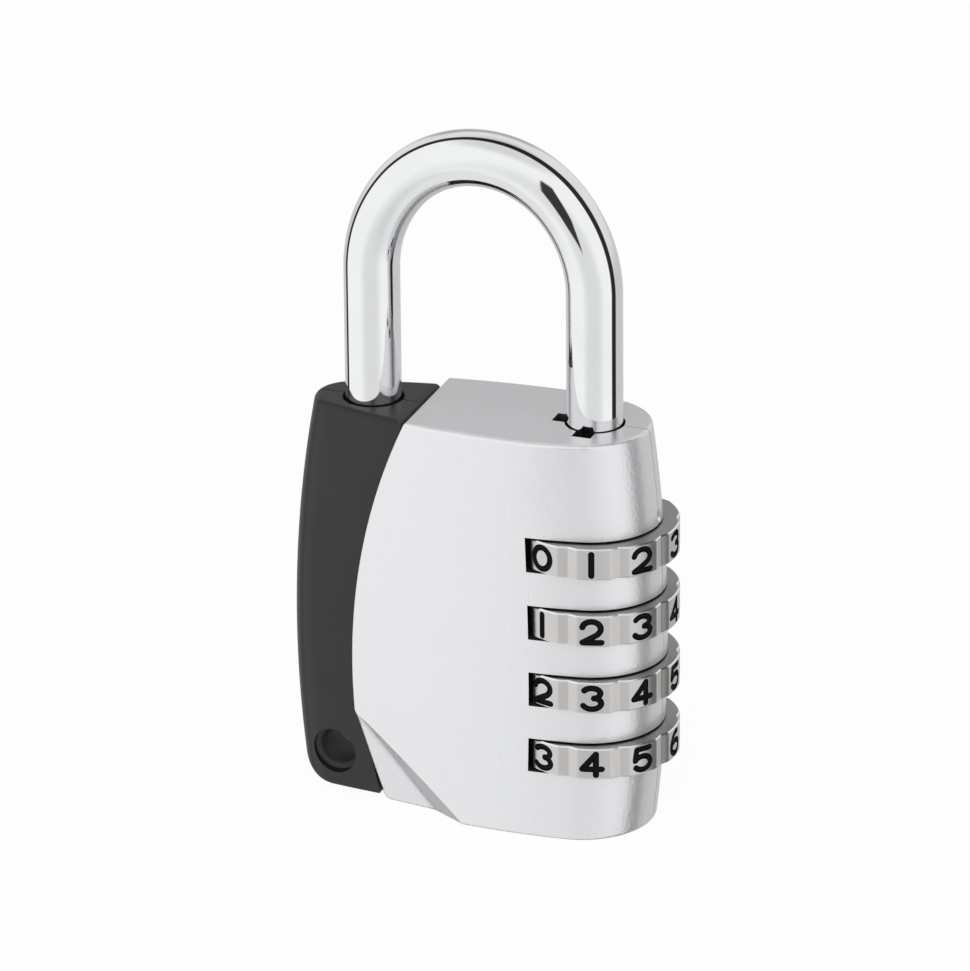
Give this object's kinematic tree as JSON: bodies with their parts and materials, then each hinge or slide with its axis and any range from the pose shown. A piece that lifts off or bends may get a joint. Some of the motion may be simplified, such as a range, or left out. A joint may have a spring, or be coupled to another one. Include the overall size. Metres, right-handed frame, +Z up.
{
  "type": "combination padlock",
  "caption": "Combination padlock with side dials, a long-heel steel shackle, coded sleeves inside and a lanyard hole in its black side cover.",
  "frame": {"origin": "on the flat base, midway between the two shackle legs and on the mid plane of the body", "axes": "+Z up along the shackle legs, +X from the toe towards the dials, front face towards -Y"},
  "size_m": [0.0464, 0.0194, 0.0827],
  "materials": {
    "silver_housing": "satin silver coating on a zinc die-casting",
    "black_cover": "satin black",
    "chromed_shackle": "bright chrome plating on hardened steel",
    "dial_metal": "dull nickel plating, digits filled black",
    "sleeve_brass": "turned brass",
    "spring_steel": "bright spring steel",
    "pin_steel": "plain steel pin"
  },
  "bodies": {
    "housing": {"front_shell": "silver_housing", "rear_shell": "silver_housing", "front_side_cover": "black_cover", "rear_side_cover": "black_cover", "click_spring_1": "spring_steel", "click_spring_2": "spring_steel", "click_spring_3": "spring_steel", "click_spring_4": "spring_steel", "reset_spring": "spring_steel", "shell_pins": "pin_steel", "cover_pins": "pin_steel"},
    "shackle": {"shackle": "chromed_shackle"},
    "dial_1": {"dial_1": "dial_metal"},
    "code_sleeve_1": {"code_sleeve_1": "sleeve_brass"},
    "dial_2": {"dial_2": "dial_metal"},
    "code_sleeve_2": {"code_sleeve_2": "sleeve_brass"},
    "dial_3": {"dial_3": "dial_metal"},
    "code_sleeve_3": {"code_sleeve_3": "sleeve_brass"},
    "dial_4": {"dial_4": "dial_metal"},
    "code_sleeve_4": {"code_sleeve_4": "sleeve_brass", "spring_washer": "spring_steel"}
  },
  "joints": [
    {"name": "shackle_lift", "type": "slide", "parent": "housing", "child": "shackle", "axis": [0, 0, 1], "range_m": [0, 0.0083]},
    {"name": "dial_1_turn", "type": "hinge", "parent": "housing", "child": "dial_1", "pos_m": [0.0135, 0, 0.0354], "axis": [0, 0, 1], "continuous": true},
    {"name": "dial_2_turn", "type": "hinge", "parent": "housing", "child": "dial_2", "pos_m": [0.0135, 0, 0.0271], "axis": [0, 0, 1], "continuous": true},
    {"name": "dial_3_turn", "type": "hinge", "parent": "housing", "child": "dial_3", "pos_m": [0.0135, 0, 0.0188], "axis": [0, 0, 1], "continuous": true},
    {"name": "dial_4_turn", "type": "hinge", "parent": "housing", "child": "dial_4", "pos_m": [0.0135, 0, 0.0105], "axis": [0, 0, 1], "continuous": true},
    {"name": "code_set_4", "type": "slide", "parent": "dial_4", "child": "code_sleeve_4", "axis": [0, 0, 1], "range_m": [-0.0012, 0], "stiffness_N_per_m": 400, "springref_m": 0.001, "deforming": ["reset_spring"]},
    {"name": "code_set_1", "type": "slide", "parent": "dial_1", "child": "code_sleeve_1", "axis": [0, 0, 1], "range_m": [-0.0012, 0], "stiffness_N_per_m": 400, "springref_m": 0.001},
    {"name": "code_set_2", "type": "slide", "parent": "dial_2", "child": "code_sleeve_2", "axis": [0, 0, 1], "range_m": [-0.0012, 0], "stiffness_N_per_m": 400, "springref_m": 0.001},
    {"name": "code_set_3", "type": "slide", "parent": "dial_3", "child": "code_sleeve_3", "axis": [0, 0, 1], "range_m": [-0.0012, 0], "stiffness_N_per_m": 400, "springref_m": 0.001}
  ],
  "couplings": [
    {"joint": "code_set_1", "follows": "code_set_4", "ratio": 1},
    {"joint": "code_set_2", "follows": "code_set_4", "ratio": 1},
    {"joint": "code_set_3", "follows": "code_set_4", "ratio": 1}
  ]
}
